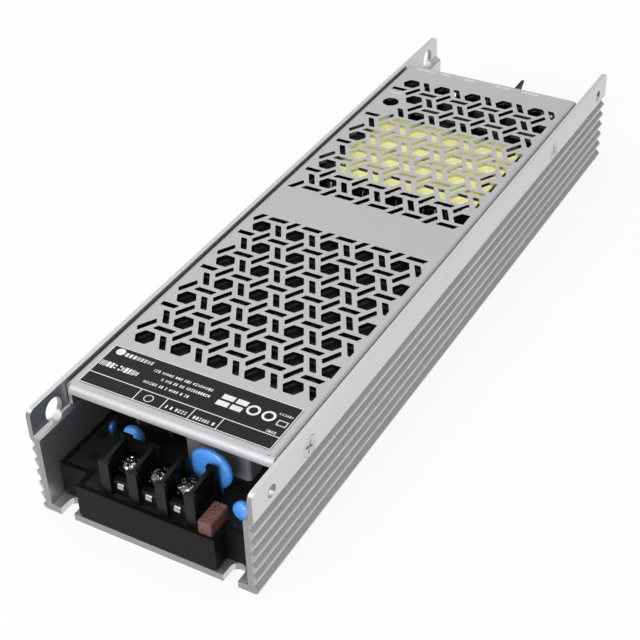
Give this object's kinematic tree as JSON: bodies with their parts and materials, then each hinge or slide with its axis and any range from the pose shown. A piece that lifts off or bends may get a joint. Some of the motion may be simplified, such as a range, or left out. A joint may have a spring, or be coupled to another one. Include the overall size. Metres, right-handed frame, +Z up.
{
  "type": "power supply",
  "caption": "Slim enclosed switching power supply with a ribbed aluminium channel, a perforated cover and screw terminals at both ends.",
  "frame": {"origin": "centre of the enclosure's underside", "axes": "+X across the width, +Y along the length towards the low-voltage output end, +Z up"},
  "size_m": [0.062, 0.22, 0.031],
  "materials": {
    "extruded_case": "satin anodised extrusion",
    "cover_sheet": "matt anodised sheet",
    "label_film": "printed film",
    "screw_steel": "plated",
    "black_moulding": "moulded",
    "board_laminate": "solder mask",
    "terminal_moulding": "moulded",
    "tinned_plate": "tinned",
    "terminal_screw": "nickel plated",
    "clamp_washer": "plated",
    "fuse_body": "moulded",
    "capacitor_box": "moulded",
    "blue_epoxy": "dipped epoxy",
    "ferrite": "sintered ferrite",
    "enamelled_copper": "enamelled wire",
    "rectifier_moulding": "moulded",
    "capacitor_sleeve": "shrink sleeve",
    "transistor_moulding": "moulded",
    "spring_clip": "spring steel",
    "yellow_tape": "polyester tape",
    "iron_powder": "iron powder",
    "trimmer_moulding": "moulded",
    "trimmer_rotor": "moulded",
    "black_film": "film"
  },
  "bodies": {
    "enclosure": {"case": "extruded_case", "cover": "cover_sheet", "rating_label": "label_film", "cover_screws": "screw_steel", "tray": "black_moulding", "circuit_board": "board_laminate", "input_terminal_block": "terminal_moulding", "input_terminal_plates": "tinned_plate", "input_terminal_screws": "terminal_screw", "input_clamp_washers": "clamp_washer", "output_terminal_block": "terminal_moulding", "output_terminal_plates": "tinned_plate", "output_terminal_screws": "terminal_screw", "fuse": "fuse_body", "x_capacitor": "capacitor_box", "varistor": "blue_epoxy", "y_capacitor_left": "blue_epoxy", "y_capacitor_side": "blue_epoxy", "y_capacitor_right": "blue_epoxy", "filter_choke_core": "ferrite", "filter_choke_windings": "enamelled_copper", "bridge_rectifier": "rectifier_moulding", "boost_choke_core": "ferrite", "boost_choke_winding": "enamelled_copper", "reservoir_capacitor_left": "capacitor_sleeve", "reservoir_capacitor_right": "capacitor_sleeve", "primary_transistors": "transistor_moulding", "primary_clip": "spring_clip", "output_transistors": "transistor_moulding", "output_clip": "spring_clip", "transformer_core_front": "ferrite", "transformer_core_rear": "ferrite", "transformer_coil_front": "yellow_tape", "transformer_coil_rear": "yellow_tape", "rail_chokes": "iron_powder", "smoothing_capacitors": "capacitor_sleeve", "control_board": "board_laminate", "trimmer_body": "trimmer_moulding", "insulating_film": "black_film"},
    "rotor": {"trimmer_rotor": "trimmer_rotor"}
  },
  "joints": [
    {"name": "trimmer_turn", "type": "hinge", "parent": "enclosure", "child": "rotor", "pos_m": [-0.023, 0.0621, 0.0158], "axis": [0, 0, 1], "range_deg": [-130, 130]}
  ]
}
